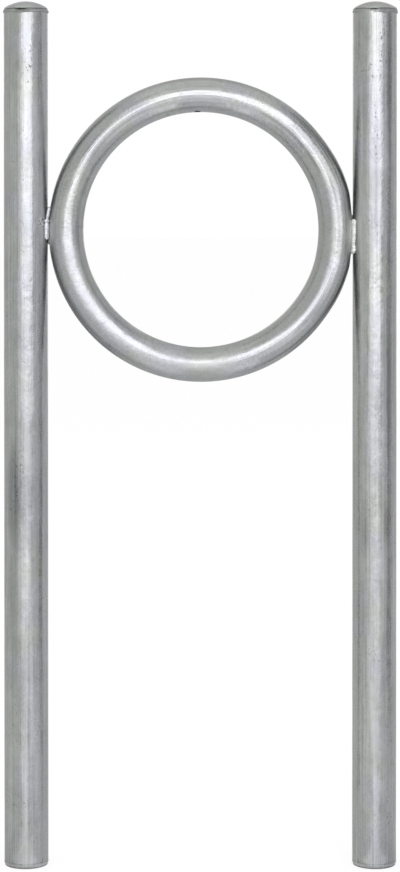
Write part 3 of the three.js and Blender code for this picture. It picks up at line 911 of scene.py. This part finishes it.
class BIKERACK_OT_ring_weld(bpy.types.Operator):
    """Add the butt weld that closes the ring"""

    bl_idname = "bike_rack.add_ring_weld"
    bl_label = "Add Ring Weld"

    def execute(self, context):
        tubes, welds = context.scene.rack_tubes, context.scene.rack_welds
        tree = ShapeTree("Ring Weld", {
            **ring_inputs(tubes), **inputs_from(welds, "seam_angle", "ripple_share", "waver"),
            "Crown": welds.seam_crown, "Lap": welds.seam_half_width, "Root": 1.2 * MM,
            "Ripples": 48.0, "Material": ring_zinc(),
        })
        size = tree.size
        sheet, along, turn, full = bead_sheet(tree, stations=288, around=16, closed=True)
        about = along * TURN
        sin, cos = about.sin(), about.cos()
        dressed = tree.ramp(cos, 0.1, 0.6, 1, 0.15)
        rise = turn.sin()
        lift = (rise.maths("MAXIMUM", 0) * size("Crown") * full * dressed
                + rise.maths("MINIMUM", 0) * size("Root"))
        drift = tree.noise(tree.vector(sin, cos, 0.0), 2.5, 2, seed=3.0) - 0.5
        lap = turn.cos() * size("Lap") * full + drift * size("Waver")
        out = (size("Half Width") + lift) * cos + size("Radius")
        front = (size("Half Depth") + lift) * sin
        aim = size("Seam Angle")
        aim_x, aim_z = aim.cos(), aim.sin()
        place = tree.vector(aim_x * out - aim_z * lap + size("Side"), -front,
                            aim_z * out + aim_x * lap + size("Height"))
        tree.finish(tree.moved(sheet, place))
        tree.make("ring_butt_weld")
        return {"FINISHED"}


class BIKERACK_OT_joint_welds(bpy.types.Operator):
    """Add the four beads that join the ring to the posts"""

    bl_idname = "bike_rack.add_joint_welds"
    bl_label = "Add Joint Welds"

    def execute(self, context):
        welds = context.scene.rack_welds
        tree = ShapeTree("Joint Weld", {
            "Line": POST_OFFSET, "Lean": 0.0, "Bottom": 0.0, "Top": 0.0,
            "Depth": welds.joint_depth, "Across": welds.joint_across, "Deep": welds.joint_deep,
            "Ripples": 14.0, "End Share": 0.1, **inputs_from(welds, "ripple_share", "waver"),
            "Seed": 0.0, "Ridge Place": 2.0, "Ridge": 0.0, "Pinch": 0.0,
            "Kink": 0.0, "Upper Share": 1.0, "Turned": 0.0,
            "Material": weld_zinc(),
        })
        size = tree.size
        sheet, along, turn, full = bead_sheet(tree, stations=150, around=24, closed=False)
        height = tree.mix(along, size("Bottom"), size("Top"))
        drift = tree.noise(tree.vector(0.0, 0.0, height * 90), 1, 3, seed=size("Seed")) - 0.5
        swell = tree.noise(tree.vector(0.0, 0.0, height * 150), 1, 3, seed=size("Seed") + 4) - 0.5
        beyond = along - size("Ridge Place")
        ridge = (beyond / 0.03).bell() * size("Ridge")
        pinch = (beyond / 0.1).bell() * size("Pinch")
        upper = tree.ramp(beyond, -0.02, 0.06)
        full = full * (1 + swell * 0.6)
        dimple = 1 - 0.25 * turn.sin().maths("MAXIMUM", 0)
        width = size("Across") * tree.mix(upper, 1.0, size("Upper Share"))
        across = width * turn.cos() * full * (1 + ridge - pinch)
        deep = size("Deep") * turn.sin() * full * dimple * (1 - pinch * 0.5 + ridge * 0.15)
        line = (size("Line") + size("Lean") * (along - 0.5) + drift * size("Waver") * 2
                + beyond.maths("MAXIMUM", 0) * size("Kink"))
        turned_sin, turned_cos = size("Turned").sin(), size("Turned").cos()
        place = tree.vector(line + across * turned_cos - deep * turned_sin,
                            -(size("Depth") + deep * turned_cos + across * turned_sin),
                            height + RING_HEIGHT)
        tree.finish(tree.moved(sheet, place))
        depth = welds.joint_depth
        tree.make("left_front_weld", line=-209.7 * MM, bottom=-14 * MM, top=31.5 * MM,
                  depth=depth + 0.7 * MM, across=3.8 * MM, seed=1.0, ridge_place=0.575,
                  ridge=0.75, pinch=0.3, kink=9 * MM, upper_share=0.75, turned=-0.35)
        tree.make("right_front_weld", line=209.0 * MM, bottom=-33.5 * MM, top=15 * MM,
                  depth=depth + 1.0 * MM, lean=1.3 * MM, seed=2.0, waver=1.1 * MM, across=4.3 * MM,
                  ridge_place=0.3, pinch=0.12, turned=0.2)
        tree.make("left_back_weld", line=-208.5 * MM, bottom=-21 * MM, top=23 * MM, seed=3.0,
                  depth=-depth, lean=-0.8 * MM)
        tree.make("right_back_weld", line=209 * MM, bottom=-25 * MM, top=20 * MM, seed=4.0,
                  depth=-depth, lean=0.8 * MM)
        return {"FINISHED"}


def soft_light(name, place, target, width, height, level):
    """Flat soft light of an even brightness that faces a target and isn't seen itself."""
    data = bpy.data.lights.new(name, "AREA")
    data.shape = "RECTANGLE"
    data.size, data.size_y, data.energy = width, height, level * width * height * math.pi
    data.color = bpy.context.scene.rack_studio.cool_light
    light = bpy.data.objects.new(name, data)
    bpy.context.scene.collection.objects.link(light)
    light.location = place
    light.rotation_euler = (Vector(target) - Vector(place)).to_track_quat("-Z", "Y").to_euler()
    light.visible_camera = False


def round_the_rack(azimuth, elevation, distance):
    """Point at a distance from the middle of the ring, azimuth 0 being in front and 90 right."""
    a, e = radians(azimuth), radians(elevation)
    return (distance * math.sin(a) * math.cos(e), -distance * math.cos(a) * math.cos(e),
            RING_HEIGHT + distance * math.sin(e))


def seen_directly(tree):
    """1 for camera, glossy and transmission rays, which all see the plain white background."""
    path = tree.add("ShaderNodeLightPath")
    glossy, through = path.output("Is Glossy Ray"), path.output("Is Transmission Ray")
    return path.maths("MAXIMUM", glossy).maths("MAXIMUM", through)


def sheet(name, paint, corners):
    """Flat sheet of the studio and the emptied shader tree of its material."""
    mesh = bpy.data.meshes.new(name)
    mesh.from_pydata(corners, [], [(0, 1, 2, 3)])
    mesh.materials.append(bpy.data.materials.new(paint))
    flat = bpy.data.objects.new(name, mesh)
    bpy.context.scene.collection.objects.link(flat)
    return flat, shader_tree(mesh.materials[0])


class BIKERACK_OT_studio(bpy.types.Operator):
    """Add the pale floor, the soft lights, the white surroundings and the camera"""

    bl_idname = "bike_rack.add_studio"
    bl_label = "Add Studio"

    def execute(self, context):
        scene, studio = context.scene, context.scene.rack_studio
        reach, low = 30.0, -0.3 * MM
        floor, tree = sheet("floor", "pale_floor", [
            (-reach, -reach, low), (reach, -reach, low), (reach, reach, low), (-reach, reach, low)])
        lit = tree.add("ShaderNodeBsdfDiffuse", None, {"Color": (0.95, 0.95, 0.95, 1)})
        plain = tree.add("ShaderNodeEmission", None, {"Color": (1, 1, 1, 1), "Strength": 1.0})
        pale = seen_directly(tree) * 0.8
        both = tree.add("ShaderNodeMixShader", None, {0: pale, 1: lit, 2: plain})
        tree.add("ShaderNodeOutputMaterial", None, {0: both})
        card, tree = sheet("dark_card", "dark_card_grey", [
            (1.1, -0.44, 0.02), (1.14, 0.06, 0.02), (1.14, 0.06, 2.4), (1.1, -0.44, 2.4)])
        card.visible_camera = False
        grey = tree.add("ShaderNodeBsdfDiffuse", None, {"Color": (0.42, 0.42, 0.42, 1)})
        tree.add("ShaderNodeOutputMaterial", None, {0: grey})

        world = bpy.data.worlds.new("white_studio")
        scene.world = world
        tree = shader_tree(world)
        level = tree.mix(seen_directly(tree), studio.surround, 1.0)
        air = tree.add("ShaderNodeBackground", None, {"Color": (1, 1, 1, 1), "Strength": level})
        tree.add("ShaderNodeOutputWorld", None, {0: air})

        middle = (0, 0, RING_HEIGHT)
        soft_light("key_light", round_the_rack(10, 13, 5), middle, 4.7, 3.3, studio.key_level)
        soft_light("side_light", round_the_rack(43, 19, 5), middle, 2.2, 2.4, studio.side_level)
        soft_light("left_light", round_the_rack(-24, 1, 5), middle, 2.0, 1.8, studio.left_level)
        soft_light("tall_light", (0.1, -2.9, 2.5), (0.1, 0, 2.5), 2.7, 4.8, studio.front_level)
        for name, side, near, far, wide in (
                ("low_left_near_light", -1, 0.034, 0.3, 0.1),
                ("low_right_near_light", 1, 0.034, 0.3, 0.1),
                ("low_left_light", -1, 0.3, 1.0, 0.22), ("low_right_light", 1, 0.3, 1.0, 0.22)):
            place = Vector((side * (POST_OFFSET + 0.02 * (near + far)), -(near + far) / 2, 0.004))
            level = studio.low_level * (0.6 if near < 0.1 else 1)
            soft_light(name, place, place + Vector((0, 0, 2)), wide, far - near, level)
        soft_light("low_middle_light", (0, -2.7, 0.006), (0, -2.7, 2), 1.8, 3.4,
                   studio.middle_level)
        soft_light("top_light", (0, -0.4, 4), (0, -0.4, 0), 3.2, 3.2, studio.top_level)
        level = studio.back_level
        soft_light("left_back_light", round_the_rack(-160, 15, 5), middle, 1.6, 2.4, level)
        soft_light("right_back_light", round_the_rack(160, 10, 5), middle, 1.3, 3.2, level)

        data = bpy.data.cameras.new("camera")
        data.sensor_width = 36
        data.lens = studio.lens
        data.shift_y = studio.shift
        data.clip_end = 100
        camera = bpy.data.objects.new("camera", data)
        scene.collection.objects.link(camera)
        camera.location = (studio.camera_side, -studio.camera_distance, studio.camera_height)
        camera.rotation_euler = (math.pi / 2 - studio.camera_pitch, 0, 0)
        scene.camera = camera
        scene.view_settings.view_transform = "Standard"
        return {"FINISHED"}


GROUPS = {
    "rack_tubes": BikeRackTubes,
    "rack_welds": BikeRackWelds,
    "rack_zinc": BikeRackZinc,
    "rack_studio": BikeRackStudio,
}
OPERATORS = (
    BIKERACK_OT_posts,
    BIKERACK_OT_ring,
    BIKERACK_OT_caps,
    BIKERACK_OT_cap_welds,
    BIKERACK_OT_ring_weld,
    BIKERACK_OT_joint_welds,
    BIKERACK_OT_studio,
)


class BIKERACK_PT_pieces(bpy.types.Panel):
    """Pieces of the hoop bike rack"""

    bl_idname = "BIKERACK_PT_pieces"
    bl_label = "Hoop Bike Rack"
    bl_space_type = "VIEW_3D"
    bl_region_type = "UI"
    bl_category = "Bike Rack"

    def draw(self, context):
        for operator in OPERATORS:
            self.layout.operator(operator.bl_idname)
        for name in GROUPS:
            group = getattr(context.scene, name)
            box = self.layout.box()
            for key in group.__annotations__:
                box.prop(group, key)


CLASSES = (*GROUPS.values(), *OPERATORS, BIKERACK_PT_pieces)


def register():
    for cls in CLASSES:
        bpy.utils.register_class(cls)
    for name, group in GROUPS.items():
        setattr(bpy.types.Scene, name, bpy.props.PointerProperty(type=group))


def unregister():
    for name in GROUPS:
        delattr(bpy.types.Scene, name)
    for cls in reversed(CLASSES):
        bpy.utils.unregister_class(cls)


def main():
    register()
    for operator in OPERATORS:
        getattr(bpy.ops.bike_rack, operator.bl_idname.split(".")[1])()


if __name__ == "__main__":
    main()
